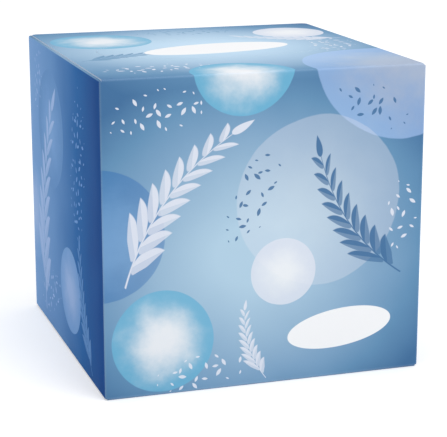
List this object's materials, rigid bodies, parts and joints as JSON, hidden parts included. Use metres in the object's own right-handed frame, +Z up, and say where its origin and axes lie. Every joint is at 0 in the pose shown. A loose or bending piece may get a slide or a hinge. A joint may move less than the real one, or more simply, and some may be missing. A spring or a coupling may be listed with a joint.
{
  "type": "tissue box",
  "caption": "Sealed cube carton of paper tissues in pale blue printed board, with folded edges, glued end panels and a perforated tear-out oval in its top.",
  "frame": {"origin": "middle of the bottom face, which the pack rests on", "axes": "+Z up, +X to the right along the front panel, -Y the front panel's outward side"},
  "size_m": [0.116, 0.116, 0.11],
  "materials": {
    "printed_board": "satin varnished print in pale and mid blues"
  },
  "bodies": {
    "root": {"carton": "printed_board"}
  },
  "joints": []
}
